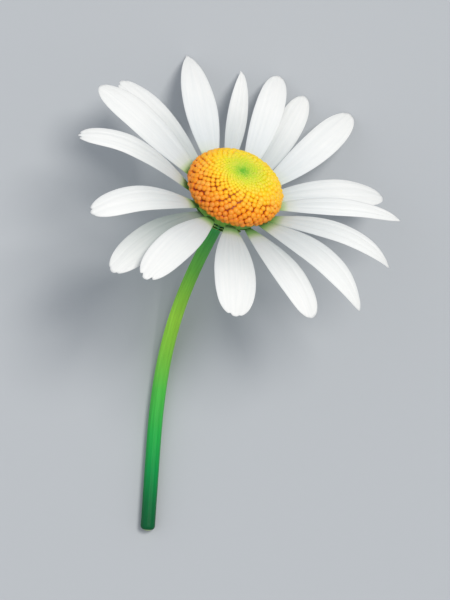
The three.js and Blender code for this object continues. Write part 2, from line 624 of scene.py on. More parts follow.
def grid_faces(numbers: np.ndarray) -> list[tuple[int, ...]]:
    """Quads over a grid of vertex numbers, each along its row and on to the next row."""
    corners = (numbers[:-1, :-1], numbers[:-1, 1:], numbers[1:, 1:], numbers[1:, :-1])
    return np.stack([c.ravel() for c in corners], axis=1).tolist()


def slab_faces(rows: int, columns: int) -> list[tuple[int, ...]]:
    """Faces of a closed slab: a grid of top points, then the same grid of bottom points.

    Args:
        rows: Points along the slab.
        columns: Points across it, from its left to its right.

    Returns:
        Quads of the top, the bottom and the rim between them.
    """
    top = np.arange(rows * columns).reshape(rows, columns)
    bottom = top + rows * columns
    faces = grid_faces(top) + grid_faces(bottom[:, ::-1])
    rim = np.concatenate([top[0, :-1], top[:-1, -1], top[-1, :0:-1], top[:0:-1, 0]])
    under = rim + rows * columns
    walls = (rim, under, np.roll(under, -1), np.roll(rim, -1))
    return faces + np.stack(walls, axis=1).tolist()


def lathe_faces(rings: int, segments: int) -> list[tuple[int, ...]]:
    """Faces of a closed turned shape: a pole, its rings and a second pole.

    Args:
        rings: How many rings lie between the poles.
        segments: Points in each ring.

    Returns:
        Quads between rings and triangles at both poles.
    """
    ring = 1 + np.arange(rings * segments).reshape(rings, segments)
    closed = np.concatenate([ring, ring[:, :1]], axis=1)
    last = 1 + rings * segments
    first_fan = [(0, a, b) for a, b in zip(closed[0, :-1].tolist(), closed[0, 1:].tolist())]
    last_fan = [(last, b, a) for a, b in zip(closed[-1, :-1].tolist(), closed[-1, 1:].tolist())]
    return first_fan + grid_faces(closed[:, ::-1]) + last_fan


# ---- The head ----


@dataclass(frozen=True)
class HeadAxes:
    """The head's own axes: Z out of the middle of the disc, X and Y in the claws' plane."""

    tilt: float = 46.0
    lean: float = 25.0
    disc_node: str = "disc_florets"
    disc_base: float = 0.6

    def turn(self) -> np.ndarray:
        """The matrix whose columns are the head's X, Y and Z in the row frame."""
        tilt, lean = math.radians(self.tilt), math.radians(self.lean)
        sin_t, cos_t = math.sin(tilt), math.cos(tilt)
        sin_l, cos_l = math.sin(lean), math.cos(lean)
        return np.array(
            [
                [cos_l, cos_t * sin_l, sin_t * sin_l],
                [-sin_l, cos_t * cos_l, sin_t * cos_l],
                [0, -sin_t, cos_t],
            ]
        )

    def centre(self) -> np.ndarray:
        """Finds the head's centre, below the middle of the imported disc's flat base."""
        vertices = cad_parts[self.disc_node].data.vertices
        local = np.array([v.co for v in vertices]) / MM @ self.turn()
        middle = (local.min(axis=0) + local.max(axis=0)) / 2
        middle[2] = local[:, 2].min() - self.disc_base
        return self.turn() @ middle

    def place(self, points: np.ndarray) -> np.ndarray:
        """Moves points from the head's axes to the row frame, both in millimetres."""
        return points @ self.turn().T + self.centre()


@dataclass(frozen=True)
class TipShape:
    """The outline of a petal past its widest place.

    Attributes:
        widest: Where the petal is widest, as a share of its length.
        fall: How late the width falls away.
        root: How full the end is.
        end_width: Share of the full width at which the grid's rows become the outline.
        notch: Depth of the notches in the tip, in millimetres.
    """

    widest: float
    fall: float
    root: float
    end_width: float
    notch: float

    def width(self, s: np.ndarray, claw: float) -> np.ndarray:
        """The width at s along the petal, as a share of the full width."""
        before = claw + (1 - claw) * np.sin(np.pi / 2 * np.minimum(1, s / self.widest))
        past = np.clip((s - self.widest) / (1 - self.widest), 0, 1)
        after = (1 - past**self.fall) ** (1 / self.root)
        return np.where(s < self.widest, before, after)

    def end(self, u: np.ndarray) -> np.ndarray:
        """Where the outline crosses the line at u, from -1 at the left edge to 1."""
        past = (1 - (np.abs(u) * self.end_width) ** self.root) ** (1 / self.fall)
        return self.widest + (1 - self.widest) * past


class Tip(Enum):
    """How a petal ends."""

    POINTED = TipShape(0.5, 1.9, 1.35, 0.42, 0.12)
    ROUNDED = TipShape(0.6, 2.4, 2.0, 0.66, 0.07)
    BLUNT = TipShape(0.6, 2.7, 2.0, 0.7, 0.65)


class Tier(Enum):
    """Height of a petal's claw on the head's axis."""

    LOWER = -0.8
    UPPER = -0.1


@dataclass(frozen=True)
class Petal:
    """One ray petal. Angles are in degrees and lengths in millimetres.

    Attributes:
        at: Where the claw stands, counter-clockwise from the head's X axis.
        splay: Turn off the radius at the claw.
        bend: Sideways curve over the petal's length.
        length: Length along the midrib.
        width: Full width.
        rise: Slope at the claw.
        droop: How far the slope has fallen at the tip.
        tip: How it ends.
        tier: Which tier its claw is in.
        shade: How grey its covered inner half is painted, 0 to 1: painted shade of neighbours.
        shade_end: Where along the petal that painted shade has faded out.
        hook: How far its very tip turns to the right.
    """

    at: float
    splay: float
    bend: float
    length: float
    width: float
    rise: float
    droop: float
    tip: Tip
    tier: Tier
    shade: float = 0.0
    shade_end: float = 0.85
    hook: float = 0.0


@dataclass
class RayPetals:
    """The ring of ray petals, each a thin cambered blade with two furrows and a cut tip.

    Attributes:
        axes: The head's axes.
        claw_radius: Distance from the head's axis at which each petal starts.
        claw_width: Width there, as a share of the full width.
        droop_growth: How strongly the droop gathers towards the tip.
        camber: Fall of the edges, as a share of the width.
        thickness: Thickness at the midrib.
        edge_thickness: Thickness at the edges and the tip.
        furrow_at: Place of the furrows and of the tip's cuts, from 0 at the midrib to 1.
        furrow_width: Width of a furrow, on the same scale.
        furrow_depth: Depth of a furrow.
        rib_spacing: Distance between the fine ribs.
        rib_height: Height of the fine ribs.
        ruffle: How far the edges wave up and down.
        rows: Points along the blade.
        columns: Points across it.
        seed: Where the irregularities come from.
        petals: The petals, counter-clockwise round the head.
    """

    axes: HeadAxes
    claw_radius: float = 7.2
    claw_width: float = 0.26
    droop_growth: float = 2.0
    camber: float = 0.06
    thickness: float = 0.24
    edge_thickness: float = 0.09
    furrow_at: float = 0.34
    furrow_width: float = 0.12
    furrow_depth: float = 0.075
    rib_spacing: float = 0.95
    rib_height: float = 0.01
    ruffle: float = 0.09
    rows: int = 72
    columns: int = 38
    seed: int = 17
    # Each petal's shade paints the shadow of its neighbours and the disc on its covered base.
    petals: tuple[Petal, ...] = (
        Petal(-3, 0, 8, 26.0, 5.0, 28, 75, Tip.POINTED, Tier.LOWER, shade=0.22),
        Petal(17, 4, 4, 25.5, 4.4, 18, 43, Tip.POINTED, Tier.UPPER),
        Petal(38, -2, 0, 24.5, 6.2, 11, 36, Tip.ROUNDED, Tier.LOWER, shade=0.05),
        Petal(52, 12, 16, 29.0, 6.1, 9, 18, Tip.ROUNDED, Tier.UPPER),
        Petal(70, 12, 8, 26.0, 5.2, 8, 12, Tip.ROUNDED, Tier.LOWER, shade=0.24),
        Petal(85, 8, 4, 26.7, 5.4, 12, 22, Tip.ROUNDED, Tier.UPPER),
        Petal(112, -12, 5, 25.5, 3.8, 9, 14, Tip.POINTED, Tier.LOWER, shade=0.28, hook=-0.5),
        Petal(134, -12, -9, 29.6, 6.5, 8, 28, Tip.POINTED, Tier.UPPER, hook=-0.5),
        Petal(152, 0, 0, 24.0, 6.2, 14, 27, Tip.BLUNT, Tier.LOWER, shade=0.3),
        Petal(169, -4, -3, 24.5, 7.2, 19, 30, Tip.ROUNDED, Tier.UPPER, shade=0.08),
        Petal(193, 0, 0, 24.8, 5.0, 34, 66, Tip.BLUNT, Tier.LOWER, shade=0.26),
        Petal(228, -1, 0, 25.0, 5.9, 28, 60, Tip.BLUNT, Tier.UPPER, shade=0.26),
        Petal(242, 3, 4, 25.8, 6.1, 16, 50, Tip.BLUNT, Tier.LOWER, shade=0.9, shade_end=1.1),
        Petal(258, -2, 0, 25.5, 6.4, 20, 42, Tip.BLUNT, Tier.UPPER, shade=0.22),
        Petal(288, 0, 0, 24.2, 7.6, 15, 30, Tip.BLUNT, Tier.UPPER, shade=0.34),
        Petal(318, -3, 4, 23.6, 6.2, 19, 45, Tip.ROUNDED, Tier.LOWER, shade=0.3),
        Petal(338, -3, -4, 27.0, 6.2, 25, 66, Tip.POINTED, Tier.UPPER, shade=0.25),
    )

    def headings(self, petal: Petal, s: np.ndarray) -> tuple[np.ndarray, np.ndarray]:
        """The midrib's directions at s.

        Args:
            petal: The petal.
            s: Places along it, from 0 at the claw to 1 at the tip.

        Returns:
            The direction forwards and the direction to the right, in the head's axes.
        """
        slope = np.radians(petal.rise - petal.droop * s**self.droop_growth)
        turn = np.radians(petal.splay + petal.bend * s)
        level = np.cos(slope)
        forward = np.stack([level * np.cos(turn), level * np.sin(turn), np.sin(slope)], -1)
        right = np.stack([np.sin(turn), -np.cos(turn), np.zeros_like(s)], -1)
        return forward, right

    def midrib(self, petal: Petal, s: np.ndarray) -> np.ndarray:
        """Points on the midrib at s, walked out from the claw in fine steps."""
        steps = 400
        forward, _ = self.headings(petal, (np.arange(steps) + 0.5) / steps)
        walk = np.vstack([np.zeros(3), np.cumsum(forward, axis=0)]) * petal.length / steps
        walk += (self.claw_radius, 0, petal.tier.value)
        stations = np.linspace(0, 1, steps + 1)
        return np.stack([np.interp(s, stations, walk[:, k]) for k in range(3)], -1)

    def relief(
        self, petal: Petal, s: np.ndarray, u: np.ndarray, rng: np.random.Generator
    ) -> np.ndarray:
        """Height of the blade's furrows, ribs and ruffled edges above its camber.

        Args:
            petal: The petal.
            s: Places along it, from 0 to 1.
            u: Places across it, from -1 to 1.
            rng: Where its irregularities come from.

        Returns:
            Millimetres for each place.
        """
        side = rng.uniform(0.85, 1.15, 2) * self.furrow_at
        furrows = np.exp(-(((u - side[0]) / self.furrow_width) ** 2))
        furrows += np.exp(-(((u + side[1]) / self.furrow_width) ** 2))
        furrows *= smooth(s, 0.08, 0.3) * (1 - 0.45 * smooth(s, 0.85, 1.0))
        ribs = np.cos(math.tau * u * petal.width / 2 / self.rib_spacing + rng.uniform(0, 6))
        ribs *= smooth(s, 0.1, 0.35) * (1 - smooth(s, 0.75, 0.92))
        waves, phase = rng.uniform(1.6, 2.6), rng.uniform(0, math.tau, 2)
        left_right = np.where(u < 0, phase[0], phase[1])
        ruffle = np.sin(math.tau * waves * s + left_right) * u**2 * smooth(s, 0.3, 0.9)
        return self.rib_height * ribs + self.ruffle * ruffle - self.furrow_depth * furrows

    def blade(self, number: int, petal: Petal) -> Shape:
        """Shapes one petal.

        Args:
            number: The petal's number, which seeds its irregularities.
            petal: Its sizes.

        Returns:
            A closed slab in the row frame.
        """
        rng = np.random.default_rng(self.seed + number)
        even = np.linspace(-1, 1, self.columns)
        # Columns stand a little closer together towards the edges.
        across = 0.72 * even + 0.28 * np.sin(np.pi / 2 * even)
        t, u = np.meshgrid(np.linspace(0, 1, self.rows), across, indexing="ij")
        shape = petal.tip.value
        end = shape.end(u)
        for place in (-self.furrow_at, self.furrow_at):
            depth = shape.notch * rng.uniform(0.2, 1.3) / petal.length
            place += rng.uniform(-0.12, 0.12)
            end -= depth * np.exp(-np.abs((u - place) / 0.1) ** 1.5)
        shoulder = shape.end(np.array(1.0))
        # Rows are straight at the claw and take on the tip's outline as they near it.
        s = t * shoulder + (end - shoulder) * t**6
        forward, right = self.headings(petal, s)
        up = np.cross(right, forward)
        width = petal.width * np.maximum(shape.width(s, self.claw_width), 0)
        width = np.where(s > shoulder, petal.width * shape.end_width, width)
        height = self.relief(petal, s, u, rng) - self.camber * width * u**2
        thin = 1 - (1 - self.edge_thickness / self.thickness) * np.maximum(u**6, t**14)
        half = (self.thickness / 2 * thin)[..., None]
        aside = u * width / 2 + petal.hook * smooth(s, 0.94, 1.02) ** 2
        middle = self.midrib(petal, s) + right * aside[..., None]
        middle += up * height[..., None]
        turn = math.radians(petal.at)
        around = np.array(
            [
                [math.cos(turn), -math.sin(turn), 0],
                [math.sin(turn), math.cos(turn), 0],
                [0, 0, 1],
            ]
        )
        sheets = np.concatenate([(middle + up * half), (middle - up * half)])
        points = self.axes.place(sheets.reshape(-1, 3) @ around.T)
        on_blade = np.stack([u * petal.width / 2, s * petal.length, number * 9.0 + 0 * s], -1)
        values = {
            "along": np.tile(s.ravel(), 2),
            "blade": np.tile(on_blade.reshape(-1, 3), (2, 1)),
            # Painted shade over the covered base, fading out along the petal.
            "shaded": np.tile((petal.shade * (1 - smooth(s, 0.25, petal.shade_end))).ravel(), 2),
        }
        return Shape(points, slab_faces(self.rows, self.columns), values)

    def build(self, material: bpy.types.Material) -> list[bpy.types.Object]:
        """Makes every petal in the given finish and returns the pieces."""
        pieces = []
        for number, petal in enumerate(self.petals, start=1):
            label = f"{number:02d}"
            shape = self.blade(number, petal)
            piece = shape.piece(f"petal_{label}", material, f"ray_petal_{label}", "petal")
            pieces.append(piece)
        return pieces


@dataclass(frozen=True)
class BudForm:
    """The mesh of one closed floret.

    Attributes:
        segments: Points round the bud.
        rings: Rings from the tip down.
        lobe: Depth of the five seams between its lobes, as a share of its radius.
    """

    segments: int
    rings: int
    lobe: float


@dataclass
class FloretDisc:
    """The domed disc: a bed, and closed florets set on it in a golden-angle spiral.

    Attributes:
        axes: The head's axes.
        radius: The dome's radius.
        rim: Height of the dome's widest place.
        top: Height of its top.
        underside: Radius and height of the corners where the rim turns in.
        spacing_at: Room from floret to floret at these distances from the top.
        bed_depth: How far the bed lies under the florets' tips, in spacings.
        tallness: Height of a grown floret's radius, in spacings.
        painted_shade_side: Angle round the head where painted shade deepens the orange, in
            degrees.
        painted_shade_lead: How much further along the ripening colours it is painted there.
        gap_shade_side: Angle round the head at which the painted gap shade is darkest, in degrees.
        size_spread: How much the florets' sizes vary.
        sink: The most that a floret sits low, in spacings.
        lean: How much the florets lean out of line.
        jog: How much they stand out of the spiral, in spacings.
        tone_shift: How much their ripeness varies.
        paleness: How much paler the palest is.
        seed: Where the irregularities come from.
        inner: Mesh of the florets near the top.
        outer: Mesh of the rest.
        inner_reach: Distance from the top at which the outer mesh takes over.
    """

    axes: HeadAxes
    radius: float = 9.0
    rim: float = 2.6
    top: float = 6.9
    underside: tuple[tuple[float, float], ...] = ((8.94, 2.1), (8.73, 1.6), (8.35, 1.15))
    spacing_at: tuple[tuple[float, float], ...] = (
        (0.0, 0.34),
        (1.2, 0.38),
        (2.6, 0.5),
        (4.2, 0.72),
        (6.0, 0.96),
        (8.5, 1.08),
        (13.0, 1.08),
    )
    bed_depth: float = 0.5
    tallness: float = 0.56
    painted_shade_side: float = 250.0
    painted_shade_lead: float = 0.33
    gap_shade_side: float = 255.0
    size_spread: float = 0.08
    sink: float = 0.07
    lean: float = 0.09
    jog: float = 0.1
    tone_shift: float = 0.035
    paleness: float = 0.16
    seed: int = 5
    inner: BudForm = BudForm(10, 5, 0.0)
    outer: BudForm = BudForm(15, 8, 0.05)
    inner_reach: float = 3.2

    def profile(self) -> np.ndarray:
        """Radius and height along the dome, from its top to the underside of its rim."""
        angle = np.linspace(0, math.pi / 2, 120)
        rise = self.rim + (self.top - self.rim) * np.cos(angle)
        dome = np.stack([self.radius * np.sin(angle), rise], axis=1)
        turned_in = np.array(self.underside)
        fine = np.linspace(0, 1, 12)[1:]
        corners = np.vstack([dome[-1], turned_in])
        places = np.linspace(0, 1, len(corners))
        under = np.stack([np.interp(fine, places, corners[:, k]) for k in range(2)], axis=1)
        return np.vstack([dome, under])

    def walk(self) -> tuple[np.ndarray, np.ndarray, np.ndarray]:
        """Follows the profile.

        Returns:
            The distance from the top, the profile's points and its outward normals.
        """
        line = self.profile()
        step = np.gradient(line, axis=0)
        step /= np.linalg.norm(step, axis=1, keepdims=True)
        normal = np.stack([-step[:, 1], step[:, 0]], axis=1)
        lengths = np.linalg.norm(np.diff(line, axis=0), axis=1)
        return np.concatenate([[0], np.cumsum(lengths)]), line, normal

    def places(self) -> dict[str, np.ndarray]:
        """Spreads the florets over the dome, each with the room that its ripeness needs.

        Returns:
            For each floret its place, outward normal, spacing, angle round the head, and
            distance from the top.
        """
        distance, line, normal = self.walk()
        spacing = np.interp(distance, *zip(*self.spacing_at))
        room = math.sqrt(3) / 2 * spacing**2
        density = math.tau * line[:, 0] / room
        steps = np.diff(distance) * (density[1:] + density[:-1]) / 2
        count = np.concatenate([[0], np.cumsum(steps)])
        number = np.arange(int(count[-1])) + 0.5
        at = np.interp(number, count, distance)
        radius, height, out, rise = (
            np.interp(at, distance, column)
            for column in (line[:, 0], line[:, 1], normal[:, 0], normal[:, 1])
        )
        angle = number * GOLDEN_ANGLE
        cos_a, sin_a = np.cos(angle), np.sin(angle)
        return {
            "point": np.stack([radius * cos_a, radius * sin_a, height], axis=1),
            "normal": np.stack([out * cos_a, out * sin_a, rise], axis=1),
            "spacing": np.interp(at, distance, spacing),
            "angle": angle,
            "distance": at / distance[-1],
            "reach": at,
        }

    def ripeness(self, share: np.ndarray, angle: np.ndarray) -> np.ndarray:
        """How far along its ripening colours the disc is, 0 to 1, with painted shade on one side.

        Args:
            share: Distance from the top of the dome, as a share of its whole profile.
            angle: Angle round the head in radians. One side is painted deeper orange, painted
                shade.

        Returns:
            A number for each place.
        """
        # Painted shade: pushes the side turned from the key light further towards orange.
        lead = self.painted_shade_lead * np.cos(angle - math.radians(self.painted_shade_side))
        return np.clip(share * (1 + lead), 0, 1)

    def gap_shade_fade(self, share: np.ndarray, angle: np.ndarray) -> np.ndarray:
        """How weak the painted shade in the gaps between the florets is, from 0 to 1.

        Args:
            share: Distance from the top of the dome, as a share of its whole profile.
            angle: Angle round the head in radians. The painted gap shade is darkest on one side.

        Returns:
            A number for each place.
        """
        shaded_side_weight = 0.5 + 0.5 * np.cos(angle - math.radians(self.gap_shade_side))
        under_the_rim = smooth(share, 0.92, 0.98)
        return np.maximum(1 - smooth(share * shaded_side_weight, 0.14, 0.5), under_the_rim)

    def bud(self, form: BudForm) -> tuple[np.ndarray, list[tuple[int, ...]]]:
        """One floret of unit radius and unit height, tip at the origin, on its Z axis."""
        polar = np.linspace(0, math.radians(128), form.rings + 1)[1:]
        round_angle = np.arange(form.segments) / form.segments * math.tau
        phi, theta = np.meshgrid(polar, round_angle, indexing="ij")
        seam = (0.5 - 0.5 * np.cos(5 * theta)) * form.lobe
        reach = np.sin(phi) * (1 - seam * np.sin(np.minimum(phi, math.pi / 2)))
        sink = seam * np.sin(2 * np.minimum(phi, math.pi / 2))
        height = np.cos(phi) - 1 - sink
        rings = np.stack([reach * np.cos(theta), reach * np.sin(theta), height], -1)
        tip, foot = np.array([[0, 0, -form.lobe]]), np.array([[0, 0, height.min() - 0.02]])
        points = np.vstack([tip, rings.reshape(-1, 3), foot])
        return points, lathe_faces(form.rings, form.segments)

    def florets(self, chosen: np.ndarray, form: BudForm) -> Shape:
        """Shapes the chosen florets as one mesh.

        Args:
            chosen: A mask over the places.
            form: How finely each bud is made.

        Returns:
            The buds, with ripening colour and painted side shade, lift for painted gap shade, tone
            and bud values.
        """
        rng = np.random.default_rng(self.seed)
        spots = self.places()
        total = len(spots["angle"])
        size = rng.normal(1.0, self.size_spread, total).clip(0.84, 1.16)
        tone = rng.uniform(0, 1, total)
        sink = rng.uniform(0, self.sink, total)
        lean = rng.normal(0, self.lean, (total, 3))
        jog = rng.normal(0, self.jog, (total, 2))
        ripe_and_shaded = self.ripeness(spots["distance"], spots["angle"])
        gap_shade_fade = self.gap_shade_fade(spots["distance"], spots["angle"])
        bud, bud_faces = self.bud(form)
        points, faces, ripeness, lift, tones, local = [], [], [], [], [], []
        for k in np.flatnonzero(chosen):
            normal = spots["normal"][k] + lean[k]
            normal /= np.linalg.norm(normal)
            side = np.cross(normal, (0.2, 0.1, 1.0))
            side /= np.linalg.norm(side)
            basis = np.stack([side, np.cross(normal, side), normal])
            spacing = spots["spacing"][k]
            grown = smooth(spots["reach"][k], 1.5, 6.0)
            wide = (0.62 - 0.045 * grown) * spacing * size[k]
            tall = self.tallness * spacing * (0.5 + 0.5 * grown)
            scaled = bud * (wide, wide, tall)
            tip = spots["point"][k] - spots["normal"][k] * sink[k] * spacing
            start = len(points) * len(bud)
            shift = (jog[k, 0] * basis[0] + jog[k, 1] * basis[1]) * spacing * grown
            points.append(scaled @ basis + tip + shift)
            faces += [tuple(start + v for v in face) for face in bud_faces]
            ripeness.append(np.full(len(bud), ripe_and_shaded[k] + self.tone_shift * (tone[k] - 0.5)))
            # Painted shade: darker towards each bud's foot, in the gaps, weaker where the gap
            # shade fades.
            soft = 0.88 * gap_shade_fade[k]
            lift.append(np.clip(1 + bud[:, 2] * (1 - soft) / 1.05, 0, 1))
            tones.append(np.full(len(bud), self.paleness * tone[k] ** 2))
            local.append(scaled + (k * 3.0, 0, 0))
        values = {
            "ripeness": np.clip(np.concatenate(ripeness), 0, 1),
            "lift": np.concatenate(lift),
            "tone": np.concatenate(tones),
            "bud": np.concatenate(local),
        }
        return Shape(self.axes.place(np.concatenate(points)), faces, values)

    def bed(self) -> Shape:
        """The closed dome that the florets stand on, a little under their tips."""
        segments = 72
        distance, line, normal = self.walk()
        spacing = np.interp(distance, *zip(*self.spacing_at))
        sunk = line - normal * (self.bed_depth * spacing)[:, None]
        rings = sunk[4::3]
        angle = np.arange(segments) / segments * math.tau
        radius, height = np.abs(rings[:, :1]), np.repeat(rings[:, 1:], segments, axis=1)
        grid = np.stack([radius * np.cos(angle), radius * np.sin(angle), height], -1)
        poles = [[[0, 0, sunk[0, 1]]], [[0, 0, rings[-1, 1]]]]
        points = np.vstack([poles[0], grid.reshape(-1, 3), poles[1]])
        share, around = np.meshgrid(distance[4::3] / distance[-1], angle, indexing="ij")
        ripe_and_shaded = self.ripeness(share, around).ravel()
        # Painted shade: the bed in the gaps between florets is painted dark.
        lift = 0.1 + 0.6 * self.gap_shade_fade(share, around).ravel()
        ripe_and_shaded = ripe_and_shaded * (1 - smooth(share, 0.92, 0.97).ravel())
        values = {
            "ripeness": np.concatenate([[0], ripe_and_shaded, [0]]),
            "lift": np.concatenate([[0.7], lift, [0.7]]),
            "tone": np.zeros(len(points)),
            "bud": points,
        }
        return Shape(self.axes.place(points), lathe_faces(len(rings), segments), values)

    def build(self, material: bpy.types.Material) -> list[bpy.types.Object]:
        """Makes the bed and both zones of florets and returns the pieces."""
        reach = self.places()["reach"]
        near = reach < self.inner_reach
        shapes = {
            "floret_bed": self.bed(),
            "florets_centre": self.florets(near, self.inner),
            "florets_outer": self.florets(~near, self.outer),
        }
        LOG.info("the disc holds %d florets", len(reach))
        return [
            shape.piece(name, material, "disc_florets", "disc")
            for name, shape in shapes.items()
        ]


@dataclass
class BractRow:
    """One ring of bracts that clasps the underside of the head.

    Attributes:
        axes: The head's axes.
        name: The row's name in the CAD nodes.
        count: Bracts in the row.
        width: Full width of each.
        foot: Radius and height of its foot on the head's axis.
        point: Radius and height of its free end.
        belly: How far its middle swells outwards.
    """

    axes: HeadAxes
    name: str
    count: int
    width: float
    foot: tuple[float, float]
    point: tuple[float, float]
    belly: float
    thickness: float = 0.3
    edge_thickness: float = 0.07
    foot_width: float = 0.38
    keel: float = 0.08
    rows: int = 26
    columns: int = 13
    seed: int = 40

    def bract(self, number: int) -> Shape:
        """Shapes the bract with this number, from 1."""
        rng = np.random.default_rng(self.seed + 100 * self.count + number)
        t, u = np.meshgrid(
            np.linspace(0, 1, self.rows), np.linspace(-1, 1, self.columns), indexing="ij"
        )
        blunt = 0.86
        end = blunt + (1 - blunt) * np.sqrt(np.maximum(0, 1 - u**2))
        t = t * end / end.max() * rng.uniform(0.97, 1.0)
        foot, point = np.array(self.foot), np.array(self.point)
        run = point - foot
        outward = np.array([run[1], -run[0]]) / np.linalg.norm(run)
        swell = self.belly * np.sin(np.pi * t)
        hollow = self.keel * (1 - np.exp(-((u / 0.22) ** 2)))
        curl = rng.uniform(-0.04, 0.08) * u**2 * t
        thin = 1 - (1 - self.edge_thickness / self.thickness) * np.maximum(u**4, t**10)
        shape = self.foot_width + (1 - self.foot_width) * np.sin(np.pi * (0.02 + 0.82 * t))
        turn = math.tau * (number - 0.5) / self.count
        sheets = []
        for side in (1, -1):
            off = swell + side * self.thickness / 2 * thin + curl
            off -= hollow * thin if side > 0 else 0
            radius = foot[0] + run[0] * t + outward[0] * off
            height = foot[1] + run[1] * t + outward[1] * off
            angle = turn + u * self.width * shape / 2 / radius
            sheets.append(np.stack([radius * np.cos(angle), radius * np.sin(angle), height], -1))
        points = self.axes.place(np.concatenate(sheets).reshape(-1, 3))
        length = float(np.linalg.norm(run))
        edge = np.maximum(np.abs(u), smooth(t / t.max(), 0.8, 1.02))
        on_blade = np.stack([u * self.width / 2, t * length, number * 5.0 + 0 * t], -1)
        values = {
            "edge": np.tile(edge.ravel(), 2),
            "along": np.tile(t.ravel(), 2),
            "blade": np.tile(on_blade.reshape(-1, 3), (2, 1)),
        }
        return Shape(points, slab_faces(self.rows, self.columns), values)

    def build(self, material: bpy.types.Material) -> list[bpy.types.Object]:
        """Makes the row in the given finish and returns the pieces."""
        pieces = []
        for number in range(1, self.count + 1):
            node = f"{self.name}_{number:02d}"
            piece = self.bract(number).piece(f"{node}_leaf", material, node, "bract")
            pieces.append(piece)
        return pieces


# ---- The stem ----


@dataclass
class Stem:
    """The stalk with the receptacle that it widens into, bent to lie on the table."""

    axes: HeadAxes
    receptacle: tuple[tuple[float, float], ...] = (
        (0.0, -0.25),
        (6.5, -0.25),
        (6.7, 0.3),
        (6.6, 1.35),
        (5.6, 2.3),
        (4.2, 3.3),
        (2.9, 4.4),
        (2.0, 5.6),
        (1.45, 7.0),
        (1.15, 8.5),
    )
    radius: float = 1.35
    bend_radius: float = 40.0
    flat_run: float = 25.5
    end_rounding: float = 0.9
    neck_heading: float = 29.0
    end_heading: float = 4.0
    neck_swing: tuple[float, float] = (0.0, 8.0)
    long_swing: tuple[float, float] = (8.0, 58.0)
    ribs: int = 11
    rib_height: float = 0.028
    rib_rise: tuple[float, float] = (5.0, 12.0)
    segments: int = 66
    step: float = 0.05

    def dip(self) -> float:
        """How steeply the stem leaves the head, in radians below level."""
        return math.radians(90 - self.axes.tilt)

    def straight(self) -> float:
        """Length of the straight stretch below the head."""
        drop = float(self.axes.centre()[2]) - self.radius
        bend_drop = self.bend_radius * (1 - math.cos(self.dip()))
        return (drop - bend_drop) / math.sin(self.dip())

    def length(self) -> float:
        """Length along the stem from the head's centre to the cut end."""
        return self.straight() + self.bend_radius * self.dip() + self.flat_run

    def direction(self, distance: np.ndarray) -> np.ndarray:
        """Unit vectors down the stem at these distances."""
        bent = np.clip((distance - self.straight()) / self.bend_radius, 0, self.dip())
        dip = self.dip() - bent
        lean = self.axes.lean
        to_neck = (self.neck_heading - lean) * smooth(distance, *self.neck_swing)
        to_end = (self.end_heading - self.neck_heading) * smooth(distance, *self.long_swing)
        heading = np.radians(lean + to_neck + to_end)
        level = -np.cos(dip)
        parts = [level * np.sin(heading), level * np.cos(heading), -np.sin(dip)]
        return np.stack(parts, axis=-1)

    def centreline(self, distance: np.ndarray) -> np.ndarray:
        """Points on the stem's centreline, which runs on straight behind the head's centre."""
        steps = int(self.length() / self.step) + 1
        walked = (np.arange(steps) + 0.5) * self.step
        walk = np.vstack([np.zeros(3), np.cumsum(self.direction(walked), axis=0)]) * self.step
        stations = np.arange(steps + 1) * self.step
        points = np.stack([np.interp(distance, stations, walk[:, k]) for k in range(3)], -1)
        behind = np.minimum(distance, 0)[:, None] * self.direction(np.zeros(1))
        return self.axes.centre() + points + behind

    def outline(self) -> tuple[np.ndarray, np.ndarray]:
        """The stem's profile.

        Returns:
            Radii, and their distances down the stem, without the two poles.
        """
        length = self.length()
        neck_radius, neck = self.receptacle[-1]
        head = np.array(self.receptacle[1:])
        cup = np.linspace(0, 1, 45)
        places = np.linspace(0, 1, len(head))
        radii = np.interp(cup, places, head[:, 0])
        distances = np.interp(cup, places, head[:, 1])
        shaft = np.linspace(neck, length - self.end_rounding, 160)[1:]
        growth = np.clip((shaft - neck) / (length - self.flat_run - neck), 0, 1)
        widths = neck_radius + (self.radius - neck_radius) * growth
        angle = np.linspace(0, math.pi / 2, 9)[1:-1]
        end = length - self.end_rounding * (1 - np.sin(angle))
        radii = np.concatenate([radii, widths, self.radius * np.cos(angle)])
        return radii, np.concatenate([distances, shaft, end])

    def shape(self) -> Shape:
        """Shapes the stem: ribbed rings along the centreline between two closed ends."""
        radii, distances = self.outline()
        theta = np.arange(self.segments) / self.segments * math.tau
        last = distances[-1]
        ribbed = smooth(distances, *self.rib_rise) * (1 - smooth(distances, last - 1.5, last))
        ribs = self.rib_height * np.cos(self.ribs * theta)[None, :] * ribbed[:, None]
        reach = radii[:, None] + ribs - self.rib_height * ribbed[:, None]
        along = self.direction(np.maximum(0, distances))
        side = np.cross((0, 0, 1), along)
        side /= np.linalg.norm(side, axis=1, keepdims=True)
        over = np.cross(side, along)
        centre = self.centreline(distances)
        ring = side[:, None] * np.cos(theta)[None, :, None]
        ring = ring + over[:, None] * np.sin(theta)[None, :, None]
        rings = centre[:, None] + ring * reach[..., None]
        length = self.length()
        ends = self.centreline(np.array([self.receptacle[0][1], length]))
        points = np.vstack([ends[:1], rings.reshape(-1, 3), ends[1:]])
        down = np.repeat(distances, self.segments)
        flat = np.stack([reach * np.cos(theta), reach * np.sin(theta)], -1).reshape(-1, 2)
        stalk = np.vstack([[0, 0, 0], np.column_stack([flat, down]), [0, 0, length]])
        cut = smooth(distances, length - 0.28, length - 0.1)
        pith = np.concatenate([[0], np.repeat(cut, self.segments), [1]])
        faces = lathe_faces(len(radii), self.segments)
        return Shape(points, faces, {"stalk": stalk, "pith": pith})

    def build(self, material: bpy.types.Material) -> list[bpy.types.Object]:
        """Makes the stem in the given finish and returns it."""
        return [self.shape().piece("stem_stalk", material, "stem", "stem")]


# ---- The studio ----


